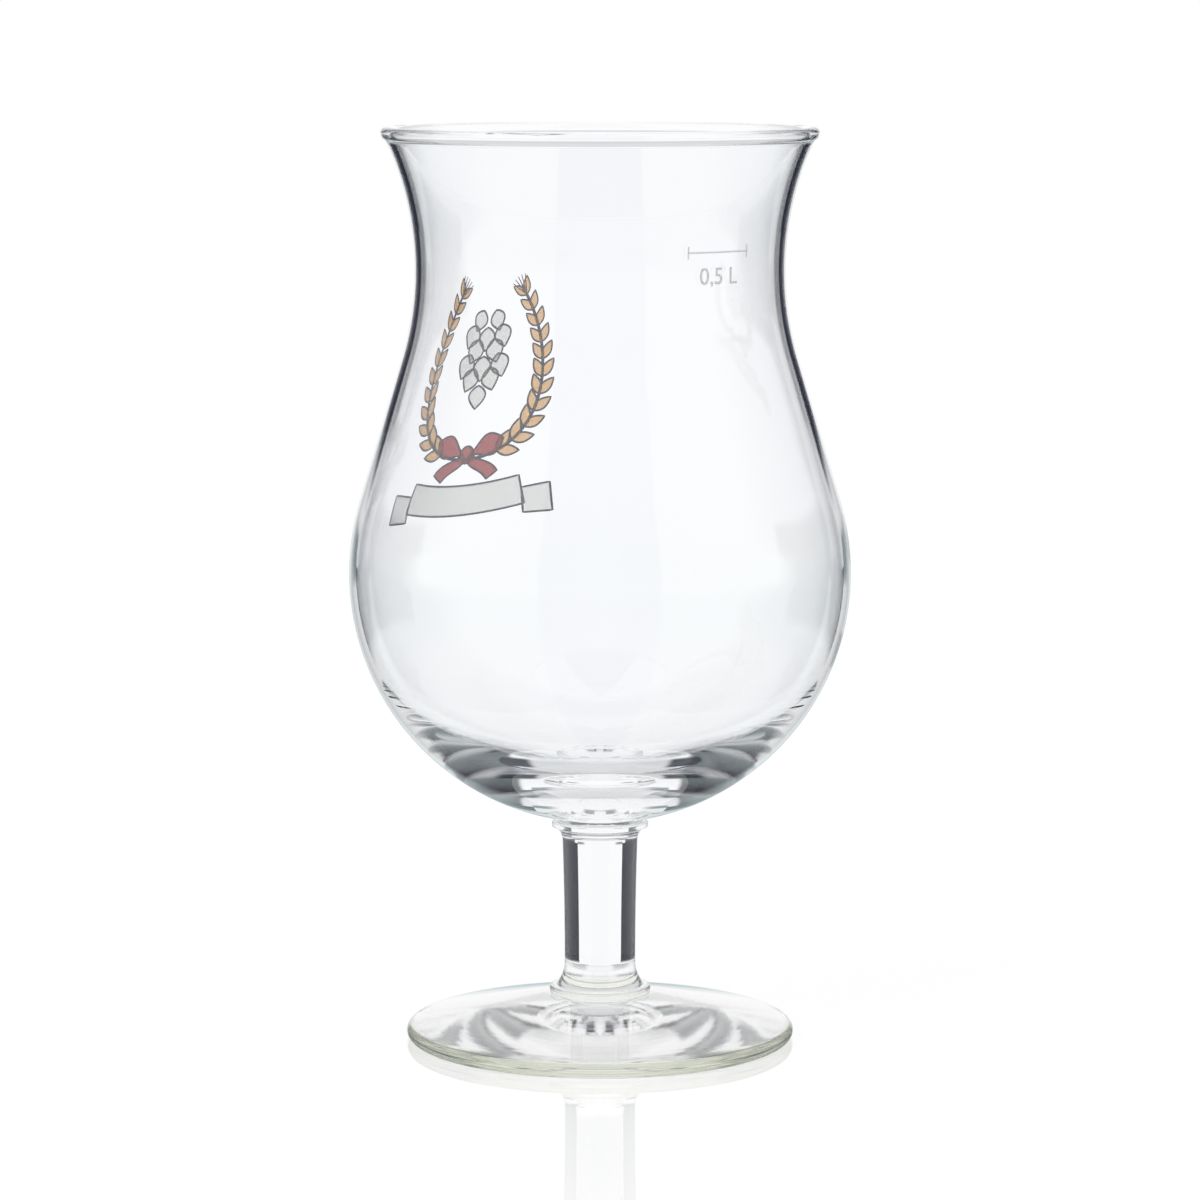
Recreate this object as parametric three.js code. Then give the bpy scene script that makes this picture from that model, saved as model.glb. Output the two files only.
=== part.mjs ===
// Half-litre stemmed beer goblet: a pressed foot, a pressed stem and a blown bowl, fused in line.
// Millimetres, +Z up. The origin is the centre of the foot's rest plane.
import * as THREE from 'three';

// Foot
const footRadius = 37.4;
const footEdgeThickness = 3;
const footSeatHeight = 8.6;
const footSeatLand = 0.4;
const restRingWidth = 2.5;
const footHollowDepth = 0.5;

// Stem, from the foot's seat upwards
const lowerCollarHeight = 1.8;
const lowerCollarLedge = 1.25;
const lowerFlareHeight = 4.2;
const lowerFlareSpread = 1.65;
const shaftBaseRadius = 6.85;
const shaftTopRadius = 7.25;
const shaftLength = 24.1;
const upperFlareHeight = 2.75;
const upperFlareSpread = 1.7;
const upperCollarLedge = 0.35;
const upperCollarHeight = 1.05;
const neckHeight = 0.75;
const neckRadius = 8.2;
const collarRound = 0.3;

// Bowl, from the neck upwards
const bellyRadius = 48;
const shoulderAngle = THREE.MathUtils.degToRad(16.6);
const waistInset = 12.75;
const waistCurve = 58;
const rimRise = 26.8;
const rimBeadOverhang = 0.55;
const upperWall = 1.4;
const heelAngle = THREE.MathUtils.degToRad(-23);
const heelWall = 1.5;
const floorThickness = 7.8;
const floorEase = 0.95;

// Facets
const facetsAround = 60;
const bellySteps = 15;
const insideSteps = 22;
const waistSteps = 8;
const beadSteps = 10;
const shaftSteps = 4;
const flareSteps = 5;
const cornerSteps = 2;
const edgeSteps = 8;
const hollowSteps = 5;

const quarterTurn = Math.PI / 2;

function at(radius, height) {
  return new THREE.Vector2(radius, height);
}

function polar(centre, radius, angle) {
  return at(centre.x + radius * Math.cos(angle), centre.y + radius * Math.sin(angle));
}

function angleFrom(centre, point) {
  return Math.atan2(point.y - centre.y, point.x - centre.x);
}

function line(from, to) {
  return new THREE.LineCurve(from, to);
}

function arc(centre, radius, from, to) {
  return new THREE.EllipseCurve(centre.x, centre.y, radius, radius, from, to, to < from);
}

// Joins [curve, steps] runs end to end into the points of one outline.
function outline(...runs) {
  return runs.flatMap(([curve, steps], run) => curve.getPoints(steps).slice(run === 0 ? 0 : 1));
}

// Radius of the arc that leaves a shaft along its side and spreads by the given amount over a height.
function flareRadius(height, spread) {
  return (height ** 2 + spread ** 2) / (2 * spread);
}

// Turns an outline, in radius and height, about the upright axis into a named glass piece.
function turnedGlass(name, points, colour, roughness) {
  const geometry = new THREE.LatheGeometry(points, facetsAround);
  geometry.rotateX(quarterTurn);
  const material = new THREE.MeshStandardMaterial({
    color: colour,
    roughness,
    metalness: 0,
    transparent: true,
    opacity: 0.4,
  });
  const mesh = new THREE.Mesh(geometry, material);
  mesh.name = name;
  return mesh;
}

const lowerCollarRadius = shaftBaseRadius + lowerFlareSpread + lowerCollarLedge;
const upperCollarRadius = shaftTopRadius + upperFlareSpread + upperCollarLedge;

// The foot is a shallow cone that runs tangent into a fully round edge. It stands on a flat ring
// round a domed hollow, and a flat seat at its top carries the stem.
function makeFoot() {
  const edgeRadius = footEdgeThickness / 2;
  const edgeCentre = at(footRadius - edgeRadius, edgeRadius);
  const ringInside = edgeCentre.x - restRingWidth;
  const domeRadius = (ringInside ** 2 + footHollowDepth ** 2) / (2 * footHollowDepth);
  const domeCentre = at(0, footHollowDepth - domeRadius);
  const seatEdge = at(lowerCollarRadius + footSeatLand, footSeatHeight);
  const reach = seatEdge.distanceTo(edgeCentre);
  const coneEnd = angleFrom(seatEdge, edgeCentre) + Math.asin(edgeRadius / reach) + quarterTurn;
  return turnedGlass(
    'foot',
    outline(
      [arc(domeCentre, domeRadius, quarterTurn, angleFrom(domeCentre, at(ringInside, 0))), hollowSteps],
      [line(at(ringInside, 0), at(edgeCentre.x, 0)), 1],
      [arc(edgeCentre, edgeRadius, -quarterTurn, coneEnd), edgeSteps],
      [line(polar(edgeCentre, edgeRadius, coneEnd), seatEdge), 1],
      [line(seatEdge, at(0, footSeatHeight)), 1],
    ),
    0xe6ebe2,
    0.04,
  );
}

// The stem is a solid spool: a shaft that swells slightly upwards, flared at each end into a collar
// with a flat ledge. A short neck on the upper collar is the weld to the bowl.
const lowerFlareStart = lowerCollarHeight;
const shaftStart = lowerFlareStart + lowerFlareHeight;
const upperFlareStart = shaftStart + shaftLength;
const upperCollarStart = upperFlareStart + upperFlareHeight;
const neckStart = upperCollarStart + upperCollarHeight;
const stemHeight = neckStart + neckHeight;

function makeStem() {
  const lowerRadius = flareRadius(lowerFlareHeight, lowerFlareSpread);
  const lowerCentre = at(shaftBaseRadius + lowerRadius, shaftStart);
  const lowerFlareFoot = at(shaftBaseRadius + lowerFlareSpread, lowerFlareStart);
  const lowerFlareAngle = angleFrom(lowerCentre, lowerFlareFoot) + 2 * Math.PI;
  const lowerCorner = at(lowerCollarRadius - collarRound, lowerCollarHeight - collarRound);
  const upperRadius = flareRadius(upperFlareHeight, upperFlareSpread);
  const upperCentre = at(shaftTopRadius + upperRadius, upperFlareStart);
  const upperFlareHead = at(shaftTopRadius + upperFlareSpread, upperCollarStart);
  const upperCorner = at(upperCollarRadius - collarRound, neckStart - collarRound);
  const shaftMiddle = at(shaftBaseRadius, shaftStart + shaftLength / 2);
  const shaftSide = new THREE.QuadraticBezierCurve(
    at(shaftBaseRadius, shaftStart),
    shaftMiddle,
    at(shaftTopRadius, upperFlareStart),
  );
  return turnedGlass(
    'stem',
    outline(
      [line(at(0, 0), at(lowerCollarRadius, 0)), 1],
      [line(at(lowerCollarRadius, 0), at(lowerCollarRadius, lowerCorner.y)), 1],
      [arc(lowerCorner, collarRound, 0, quarterTurn), cornerSteps],
      [line(at(lowerCorner.x, lowerCollarHeight), lowerFlareFoot), 1],
      [arc(lowerCentre, lowerRadius, lowerFlareAngle, Math.PI), flareSteps],
      [shaftSide, shaftSteps],
      [arc(upperCentre, upperRadius, Math.PI, angleFrom(upperCentre, upperFlareHead)), flareSteps],
      [line(upperFlareHead, at(upperCollarRadius, upperCollarStart)), 1],
      [line(at(upperCollarRadius, upperCollarStart), at(upperCollarRadius, upperCorner.y)), 1],
      [arc(upperCorner, collarRound, 0, quarterTurn), cornerSteps],
      [line(at(upperCorner.x, neckStart), at(neckRadius, neckStart)), 1],
      [line(at(neckRadius, neckStart), at(neckRadius, stemHeight)), 1],
      [line(at(neckRadius, stemHeight), at(0, stemHeight)), 1],
    ),
    0xe9edf1,
    0.02,
  );
}

// The inside of the blown belly, in polar form about the belly's centre: the wall thickens a little
// from the shoulder to the heel and then swells into the heavy, flattened floor on the axis.
class BellyInside extends THREE.Curve {
  constructor(centre) {
    super();
    this.centre = centre;
  }

  wallAt(angle) {
    const { lerp, smoothstep } = THREE.MathUtils;
    if (angle > heelAngle) {
      return lerp(upperWall, heelWall, smoothstep(shoulderAngle - angle, 0, shoulderAngle - heelAngle));
    }
    const share = Math.min(1, (heelAngle - angle) / (heelAngle + quarterTurn));
    return lerp(heelWall, floorThickness, smoothstep(share ** floorEase, 0, 1));
  }

  getPoint(t) {
    const angle = THREE.MathUtils.lerp(shoulderAngle, -quarterTurn, t);
    const point = polar(this.centre, bellyRadius - this.wallAt(angle), angle);
    return t === 1 ? at(0, point.y) : point;
  }
}

// The bowl is a sphere up to its shoulder, then a straight cone, then one long arc that draws in to
// the waist and flares out to the mouth, where the wall ends in a fire-polished bead.
function makeBowl() {
  const bellyCentre = at(0, Math.sqrt(bellyRadius ** 2 - neckRadius ** 2));
  const waistRadius = bellyRadius - waistInset;
  const rimRadius = upperWall / 2 + rimBeadOverhang;
  const shoulder = polar(bellyCentre, bellyRadius, shoulderAngle);
  const arcCentreRadius = waistRadius + waistCurve;
  const coneEndRadius = arcCentreRadius - waistCurve * Math.cos(shoulderAngle);
  const coneEndHeight = shoulder.y + (shoulder.x - coneEndRadius) / Math.tan(shoulderAngle);
  const coneEnd = at(coneEndRadius, coneEndHeight);
  const arcCentre = at(arcCentreRadius, coneEndHeight + waistCurve * Math.sin(shoulderAngle));
  const arcStart = Math.PI + shoulderAngle;
  const innerCurve = waistCurve + upperWall;
  const wallMiddle = waistCurve + upperWall / 2;
  const rimAngle = Math.PI - Math.asin((rimRise - rimRadius) / wallMiddle);
  const rimCentre = polar(arcCentre, wallMiddle, rimAngle);
  // Angle about the arc's centre between the bead's middle and where the bead meets a wall face.
  const beadHalf = (curve) => Math.acos(
    (wallMiddle ** 2 + curve ** 2 - rimRadius ** 2) / (2 * wallMiddle * curve),
  );
  const outerEnd = rimAngle + beadHalf(waistCurve);
  const innerEnd = rimAngle + beadHalf(innerCurve);
  const beadStart = angleFrom(rimCentre, polar(arcCentre, waistCurve, outerEnd));
  const beadEnd = angleFrom(rimCentre, polar(arcCentre, innerCurve, innerEnd)) + 2 * Math.PI;
  const inside = new BellyInside(bellyCentre);
  return turnedGlass(
    'bowl',
    outline(
      [line(at(0, 0), at(neckRadius, 0)), 1],
      [arc(bellyCentre, bellyRadius, angleFrom(bellyCentre, at(neckRadius, 0)), shoulderAngle), bellySteps],
      [line(shoulder, coneEnd), 1],
      [arc(arcCentre, waistCurve, arcStart, outerEnd), waistSteps],
      [arc(rimCentre, rimRadius, beadStart, beadEnd), beadSteps],
      [arc(arcCentre, innerCurve, innerEnd, arcStart), waistSteps],
      [line(polar(arcCentre, innerCurve, arcStart), inside.getPoint(0)), 1],
      [inside, insideSteps],
    ),
    0xeef3f6,
    0.02,
  );
}

const goblet = new THREE.Group();
const foot = makeFoot();
const stem = makeStem();
const bowl = makeBowl();
stem.position.z = footSeatHeight;
bowl.position.z = footSeatHeight + stemHeight;
goblet.add(foot, stem, bowl);

export default goblet;
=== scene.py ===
import math
from functools import partial

import bmesh
import bpy
import numpy as np
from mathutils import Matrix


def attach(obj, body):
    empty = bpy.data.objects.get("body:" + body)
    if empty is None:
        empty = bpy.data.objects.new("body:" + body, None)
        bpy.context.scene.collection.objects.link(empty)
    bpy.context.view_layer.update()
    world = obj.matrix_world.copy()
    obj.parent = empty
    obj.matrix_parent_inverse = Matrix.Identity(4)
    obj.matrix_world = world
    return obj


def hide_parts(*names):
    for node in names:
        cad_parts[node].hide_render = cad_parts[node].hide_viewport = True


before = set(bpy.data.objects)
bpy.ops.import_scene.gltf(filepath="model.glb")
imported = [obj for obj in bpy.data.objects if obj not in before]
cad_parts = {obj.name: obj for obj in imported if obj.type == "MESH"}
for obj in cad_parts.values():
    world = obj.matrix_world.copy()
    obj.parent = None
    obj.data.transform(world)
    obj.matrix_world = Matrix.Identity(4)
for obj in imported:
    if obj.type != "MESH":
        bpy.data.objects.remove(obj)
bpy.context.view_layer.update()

scene = bpy.context.scene
scene.view_settings.view_transform = "Standard"
mm = 0.001
quarterTurn = math.pi / 2
fullTurn = 2 * math.pi
white = (1.0, 1.0, 1.0)

# long light paths through the stacked glass walls
lightPaths = {"bounces": 240, "clearBounces": 24}
cycles = scene.cycles
cycles.max_bounces = cycles.transmission_bounces = cycles.glossy_bounces = lightPaths["bounces"]
cycles.transparent_max_bounces = lightPaths["clearBounces"]
print("frame loaded:", sorted(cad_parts))


# camera: level and distance fitted to the two ellipses of rim and foot
cameraView = {
    "distance": 0.8587, "height": 0.19677, "pitchDown": 7.40, "lens": 135.45, "sensor": 36.0,
    "clip": (0.01, 200.0),
}


def makeCamera(spec):
    data = bpy.data.cameras.new("photoCamera")
    data.sensor_width = spec["sensor"]
    data.lens = spec["lens"]
    data.clip_start, data.clip_end = spec["clip"]
    camera = bpy.data.objects.new("photoCamera", data)
    camera.location = (0.0, -spec["distance"], spec["height"])
    camera.rotation_euler = (quarterTurn - math.radians(spec["pitchDown"]), 0.0, 0.0)
    scene.collection.objects.link(camera)
    scene.camera = camera


makeCamera(cameraView)
print("camera set")


# small helpers for profiles and drawings, in millimetres
joinSlack = 1e-6
flatSteps = 3
landSteps = 2


def shares(count):
    return [i / count for i in range(count + 1)]


def smoothStep(t):
    t = min(1.0, max(0.0, t))
    return t * t * (3 - 2 * t)


def arcPoints(centre, radius, start, end, steps):
    turns = [start + (end - start) * t for t in shares(steps)]
    return [(centre[0] + radius * math.cos(a), centre[1] + radius * math.sin(a)) for a in turns]


def linePoints(start, end, steps):
    return [tuple(a + (b - a) * t for a, b in zip(start, end)) for t in shares(steps)]


def joinRuns(*runs):
    points = list(runs[0])
    for run in runs[1:]:
        meets = math.dist(points[-1], run[0]) < joinSlack
        points += run[1:] if meets else run
    return points


# node helpers: an input, by name or place, is given a value or the socket that feeds it
def addNode(tree, kind, inputs=None, **settings):
    made = tree.nodes.new(kind)
    for key, value in settings.items():
        setattr(made, key, value)
    for key, value in (inputs or {}).items():
        if isinstance(value, bpy.types.NodeSocket):
            tree.links.new(value, made.inputs[key])
        else:
            made.inputs[key].default_value = value
    return made


def maths(tree, operation, *values):
    return addNode(tree, "ShaderNodeMath", dict(enumerate(values)), operation=operation).outputs[0]


def vectorMaths(tree, operation, *values):
    return addNode(tree, "ShaderNodeVectorMath", dict(enumerate(values)), operation=operation)


def axesOf(tree, vector):
    return addNode(tree, "ShaderNodeSeparateXYZ", {0: vector}).outputs


def levelled(tree, vector):
    return vectorMaths(tree, "MULTIPLY", vector, (1.0, 1.0, 0.0)).outputs[0]


def lengthOf(tree, vector):
    return vectorMaths(tree, "LENGTH", vector).outputs["Value"]


def mapRange(tree, value, fromRange, toRange=(0.0, 1.0), **settings):
    ends = dict(zip(("From Min", "From Max", "To Min", "To Max"), (*fromRange, *toRange)))
    return addNode(tree, "ShaderNodeMapRange", {"Value": value, **ends}, **settings).outputs[0]


def mixColours(tree, share, first, second):
    return addNode(tree, "ShaderNodeMix", {0: share, 6: first, 7: second}, data_type="RGBA").outputs[2]


def mixShaders(tree, share, first, second):
    return addNode(tree, "ShaderNodeMixShader", {0: share, 1: first.outputs[0], 2: second.outputs[0]})


def opaque(colour):
    return (*colour, 1.0)


# a node group with its sockets: label, kind and, for shader inputs, the value at first
def newTree(name, kind, inputs, outputs):
    tree = bpy.data.node_groups.new(name, kind)
    for label, socketKind, *value in inputs:
        socket = tree.interface.new_socket(label, in_out="INPUT", socket_type="NodeSocket" + socketKind)
        if value:
            socket.default_value = value[0]
    for label, socketKind in outputs:
        tree.interface.new_socket(label, in_out="OUTPUT", socket_type="NodeSocket" + socketKind)
    return tree, addNode(tree, "NodeGroupInput").outputs, addNode(tree, "NodeGroupOutput").inputs


# geometry trees end as real meshes that wear the given material
def dressLast(tree, last, material, made):
    real = addNode(tree, "GeometryNodeRealizeInstances", {0: last.outputs[0]})
    dressed = addNode(tree, "GeometryNodeSetMaterial", {"Geometry": real.outputs[0], "Material": material})
    tree.links.new(dressed.outputs[0], made[0])


def setInputs(modifier, values):
    for item in modifier.node_group.interface.items_tree:
        if item.item_type == "SOCKET" and item.in_out == "INPUT" and item.name in values:
            modifier[item.identifier] = values[item.name]


def runTree(holder, tree, values):
    modifier = holder.modifiers.new(tree.name, "NODES")
    modifier.node_group = tree
    setInputs(modifier, values)
    graph = bpy.context.evaluated_depsgraph_get()
    made = bpy.data.meshes.new_from_object(holder.evaluated_get(graph))
    holder.modifiers.clear()
    return made


# geometry nodes: spins a profile (points with x as radius) round the upright axis
def makeSpinTree():
    tree, given, made = newTree(
        "spinProfile", "GeometryNodeTree",
        [("Geometry", "Geometry"), ("Segments", "Int"), ("Profile Points", "Int"),
         ("Weld Distance", "Float"), ("Sharp Angle", "Float"), ("Material", "Material")],
        [("Geometry", "Geometry")])
    position = addNode(tree, "GeometryNodeInputPosition").outputs[0]
    columns = maths(tree, "ADD", given["Segments"], 1)
    grid = addNode(tree, "GeometryNodeMeshGrid", {
        "Size X": 1.0, "Size Y": 1.0, "Vertices X": columns, "Vertices Y": given["Profile Points"]})
    place = axesOf(tree, position)
    turn = maths(tree, "MULTIPLY", maths(tree, "ADD", place["X"], 0.5), fullTurn)
    last = maths(tree, "SUBTRACT", given["Profile Points"], 1)
    row = maths(tree, "ROUND", maths(tree, "MULTIPLY", maths(tree, "ADD", place["Y"], 0.5), last))
    sample = addNode(
        tree, "GeometryNodeSampleIndex", {"Geometry": given["Geometry"], "Value": position, "Index": row},
        data_type="FLOAT_VECTOR", domain="POINT")
    profile = axesOf(tree, sample.outputs[0])
    spun = addNode(tree, "ShaderNodeCombineXYZ", {
        "X": maths(tree, "MULTIPLY", profile["X"], maths(tree, "COSINE", turn)),
        "Y": maths(tree, "MULTIPLY", profile["X"], maths(tree, "SINE", turn)),
        "Z": profile["Z"]})
    shaped = addNode(tree, "GeometryNodeSetPosition", {
        "Geometry": grid.outputs["Mesh"], "Position": spun.outputs[0]})
    closed = addNode(tree, "GeometryNodeMergeByDistance", {
        "Geometry": shaped.outputs[0], "Distance": given["Weld Distance"]})
    smooth = addNode(tree, "GeometryNodeSetShadeSmooth", {"Geometry": closed.outputs[0]}, domain="FACE")
    angle = addNode(tree, "GeometryNodeInputMeshEdgeAngle").outputs["Unsigned Angle"]
    gentle = maths(tree, "LESS_THAN", angle, given["Sharp Angle"])
    edges = addNode(
        tree, "GeometryNodeSetShadeSmooth", {"Geometry": smooth.outputs[0], "Shade Smooth": gentle},
        domain="EDGE")
    dressLast(tree, edges, given["Material"], made)
    return tree


spinTree = makeSpinTree()
spinValues = {"Weld Distance": 1e-6, "Sharp Angle": math.radians(32)}


def spinPiece(name, points, segments, material):
    line = bpy.data.meshes.new(name + "Profile")
    line.from_pydata([(r * mm, 0.0, z * mm) for r, z in points], [], [])
    piece = bpy.data.objects.new(name, line)
    scene.collection.objects.link(piece)
    piece.data = runTree(piece, spinTree, {
        "Segments": segments, "Profile Points": len(points), "Material": material, **spinValues})
    piece.data.name = name
    return piece


# shared effects: the slow unevenness and tool rings of worked glass, and a tint that deepens at the edge
def makeUnevenGroup():
    group, given, made = newTree(
        "unevenGlass", "ShaderNodeTree",
        [("Wave Size", "Float", 0.02), ("Wave Height", "Float", 0.00001),
         ("Stretch", "Vector", (1.0, 1.0, 1.0)), ("Seed", "Float", 0.0),
         ("Ring Size", "Float", 0.001), ("Ring Height", "Float", 0.0)],
        [("Normal", "Vector")])
    place = addNode(group, "ShaderNodeTexCoord").outputs["Object"]
    stretched = vectorMaths(group, "MULTIPLY", place, given["Stretch"]).outputs[0]
    waves = addNode(
        group, "ShaderNodeTexNoise",
        {"Vector": stretched, "W": given["Seed"], "Scale": maths(group, "DIVIDE", 1.0, given["Wave Size"]),
         "Detail": 1.0},
        noise_dimensions="4D")
    rings = addNode(
        group, "ShaderNodeTexNoise",
        {"W": lengthOf(group, levelled(group, place)), "Scale": maths(group, "DIVIDE", 1.0, given["Ring Size"]),
         "Detail": 2.0},
        noise_dimensions="1D")
    bump = addNode(group, "ShaderNodeBump", {
        "Strength": 1.0, "Distance": given["Wave Height"], "Height": waves.outputs["Fac"]})
    grooves = addNode(group, "ShaderNodeBump", {
        "Strength": 1.0, "Distance": given["Ring Height"], "Height": rings.outputs["Fac"],
        "Normal": bump.outputs[0]})
    group.links.new(grooves.outputs[0], made["Normal"])
    return group


def makeEdgeTintGroup():
    group, given, made = newTree(
        "edgeTint", "ShaderNodeTree",
        [("Body", "Color", opaque(white)), ("Edge", "Color", opaque(white)),
         ("From Radius", "Float", 0.03), ("To Radius", "Float", 0.04)],
        [("Color", "Color")])
    place = addNode(group, "ShaderNodeTexCoord").outputs["Object"]
    radius = lengthOf(group, levelled(group, place))
    share = mapRange(group, radius, (given["From Radius"], given["To Radius"]), interpolation_type="SMOOTHSTEP")
    group.links.new(mixColours(group, share, given["Body"], given["Edge"]), made["Color"])
    return group


unevenGroup = makeUnevenGroup()
edgeTintGroup = makeEdgeTintGroup()
glassIor = 1.52


def newMaterial(name, values):
    material = bpy.data.materials.new(name)
    material.use_nodes = True
    shader = material.node_tree.nodes["Principled BSDF"]
    for key, value in values.items():
        shader.inputs[key].default_value = value
    return material, material.node_tree, shader.inputs


def makeGlass(name, spec):
    material, tree, shader = newMaterial(name, {
        "Roughness": spec["roughness"], "IOR": glassIor, "Transmission Weight": 1.0})
    tint = addNode(
        tree, "ShaderNodeGroup",
        {"Body": opaque(spec["tint"]), "Edge": opaque(spec["edgeTint"]),
         "From Radius": spec["edgeFrom"] * mm, "To Radius": spec["edgeTo"] * mm},
        node_tree=edgeTintGroup)
    uneven = addNode(
        tree, "ShaderNodeGroup",
        {"Wave Size": spec["waveSize"] * mm, "Wave Height": spec["waveHeight"] * mm,
         "Stretch": spec["stretch"], "Seed": spec["seed"],
         "Ring Size": spec["ringSize"] * mm, "Ring Height": spec["ringHeight"] * mm},
        node_tree=unevenGroup)
    tree.links.new(tint.outputs[0], shader["Base Color"])
    tree.links.new(uneven.outputs[0], shader["Normal"])
    return material


# foot: a hollow underside, a flat rest ring, a round edge, a cone and the seat that the stem is fused to
foot = {
    "radius": 37.4, "edge": 3.0, "seatHeight": 8.6, "seatRadius": 10.15, "restRing": 2.5, "hollow": 0.5,
    "hollowSteps": 40, "edgeSteps": 40, "coneSteps": 30, "segments": 192,
    "tint": (0.95, 0.949, 0.952), "edgeTint": (0.74, 0.765, 0.63), "edgeFrom": 35.9, "edgeTo": 37.1,
    "waveSize": 9.0, "waveHeight": 0.012, "stretch": (1.0, 1.0, 1.0), "seed": 2.0,
    "ringSize": 1.1, "ringHeight": 0.01, "roughness": 0.055,
}


def footProfile(spec, weldRadius):
    edge = spec["edge"] / 2
    centre = (spec["radius"] - edge, edge)
    inside = centre[0] - spec["restRing"]
    dome = (inside ** 2 + spec["hollow"] ** 2) / (2 * spec["hollow"])
    domeCentre = (0.0, spec["hollow"] - dome)
    domeEnd = math.atan2(-domeCentre[1], inside)
    seat = (spec["seatRadius"], spec["seatHeight"])
    weldEdge = (weldRadius, spec["seatHeight"])
    toEdge = math.atan2(centre[1] - seat[1], centre[0] - seat[0])
    coneEnd = toEdge + math.asin(edge / math.dist(seat, centre)) + quarterTurn
    edgeRun = arcPoints(centre, edge, -quarterTurn, coneEnd, spec["edgeSteps"])
    return joinRuns(
        arcPoints(domeCentre, dome, quarterTurn, domeEnd, spec["hollowSteps"]),
        linePoints((inside, 0.0), (centre[0], 0.0), landSteps),
        edgeRun,
        linePoints(edgeRun[-1], seat, spec["coneSteps"]),
        linePoints(seat, weldEdge, landSteps),
        linePoints(weldEdge, (0.0, seat[1]), flatSteps),
    )


# stem: a shaft that swells slightly upwards, with a flare, a ledge and a rounded collar at each end
stem = {
    "collar": 9.75, "collarTop": 1.8, "collarRound": 0.75, "undercut": 0.4, "ledge": 8.5, "flareTop": 6.0,
    "base": 6.85, "top": 7.25, "shaftTop": 30.1, "upperFlareTop": 32.85, "upperLedge": 8.95,
    "upperCollar": 9.3, "round": 0.3, "neckStart": 33.9, "neck": 8.2, "height": 34.65,
    "cornerSteps": 8, "collarSteps": 10, "flareSteps": 24, "upperFlareSteps": 20, "shaftSteps": 24,
    "segments": 160,
    "tint": (0.985, 0.987, 0.995), "edgeTint": (0.97, 0.98, 0.975), "edgeFrom": 8.0, "edgeTo": 9.5,
    "waveSize": 6.0, "waveHeight": 0.006, "stretch": (1.0, 1.0, 0.5), "seed": 5.0,
    "ringSize": 1.0, "ringHeight": 0.0, "roughness": 0.0,
}


# radius of the arc that leaves a shaft along its side and spreads over a height
def flareRadius(height, spread):
    return (height ** 2 + spread ** 2) / (2 * spread)


def stemProfile(spec, lift):
    collar, collarTop, ledge = spec["collar"], spec["collarTop"], spec["ledge"]
    upperCollar, upperTop, upperLedge = spec["upperCollar"], spec["upperFlareTop"], spec["upperLedge"]
    base, top, neck, height = spec["base"], spec["top"], spec["neck"], spec["height"]
    length = spec["shaftTop"] - spec["flareTop"]
    low = flareRadius(spec["flareTop"] - collarTop, ledge - base)
    lowCentre = (base + low, spec["flareTop"])
    lowStart = math.atan2(collarTop - lowCentre[1], ledge - lowCentre[0])
    high = flareRadius(upperTop - spec["shaftTop"], upperLedge - top)
    highCentre = (top + high, spec["shaftTop"])
    highEnd = math.atan2(upperTop - highCentre[1], upperLedge - highCentre[0])
    corner, collarCorner, undercut = spec["round"], spec["collarRound"], spec["undercut"]
    underCorner = (collar - undercut, undercut)
    lowCorner = (collar - collarCorner, collarTop - collarCorner)
    highCorner = (upperCollar - corner, spec["neckStart"] - corner)
    shaft = [(base + (top - base) * t ** 2, spec["flareTop"] + length * t) for t in shares(spec["shaftSteps"])]
    points = joinRuns(
        linePoints((0.0, 0.0), (underCorner[0], 0.0), flatSteps),
        arcPoints(underCorner, undercut, -quarterTurn, 0.0, spec["cornerSteps"]),
        linePoints((collar, undercut), (collar, lowCorner[1]), flatSteps),
        arcPoints(lowCorner, collarCorner, 0.0, quarterTurn, spec["collarSteps"]),
        linePoints((lowCorner[0], collarTop), (ledge, collarTop), flatSteps),
        arcPoints(lowCentre, low, lowStart, -math.pi, spec["flareSteps"]),
        shaft,
        arcPoints(highCentre, high, math.pi, highEnd, spec["upperFlareSteps"]),
        linePoints((upperLedge, upperTop), (upperCollar, upperTop), landSteps),
        linePoints((upperCollar, upperTop), (upperCollar, highCorner[1]), flatSteps),
        arcPoints(highCorner, corner, 0.0, quarterTurn, spec["cornerSteps"]),
        linePoints((highCorner[0], spec["neckStart"]), (neck, spec["neckStart"]), landSteps),
        linePoints((neck, spec["neckStart"]), (neck, height), flatSteps),
        linePoints((neck, height), (0.0, height), flatSteps),
    )
    return [(r, z + lift) for r, z in points]


# bowl: a sphere up to its shoulder, a cone, an arc round the waist to the rim bead, and a heavy floor
bowl = {
    "belly": 48.0, "shoulder": math.radians(16.6), "inset": 12.75, "curve": 58.0, "rimRise": 26.8,
    "overhang": 0.55, "rimEase": 1.2, "wall": 1.4, "heel": math.radians(-23), "heelWall": 1.5,
    "floor": 7.8, "floorEase": 0.95,
    "bellySteps": 110, "coneSteps": 16, "waistSteps": 50, "filletSteps": 10, "beadSteps": 36,
    "insideSteps": 140, "segments": 224,
    "tint": (0.983, 0.989, 1.0), "edgeTint": (0.97, 0.985, 0.99), "edgeFrom": 46.0, "edgeTo": 48.0,
    "waveSize": 26.0, "waveHeight": 0.03, "stretch": (1.0, 1.0, 0.6), "seed": 9.0,
    "ringSize": 1.0, "ringHeight": 0.0, "roughness": 0.0,
}


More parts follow.
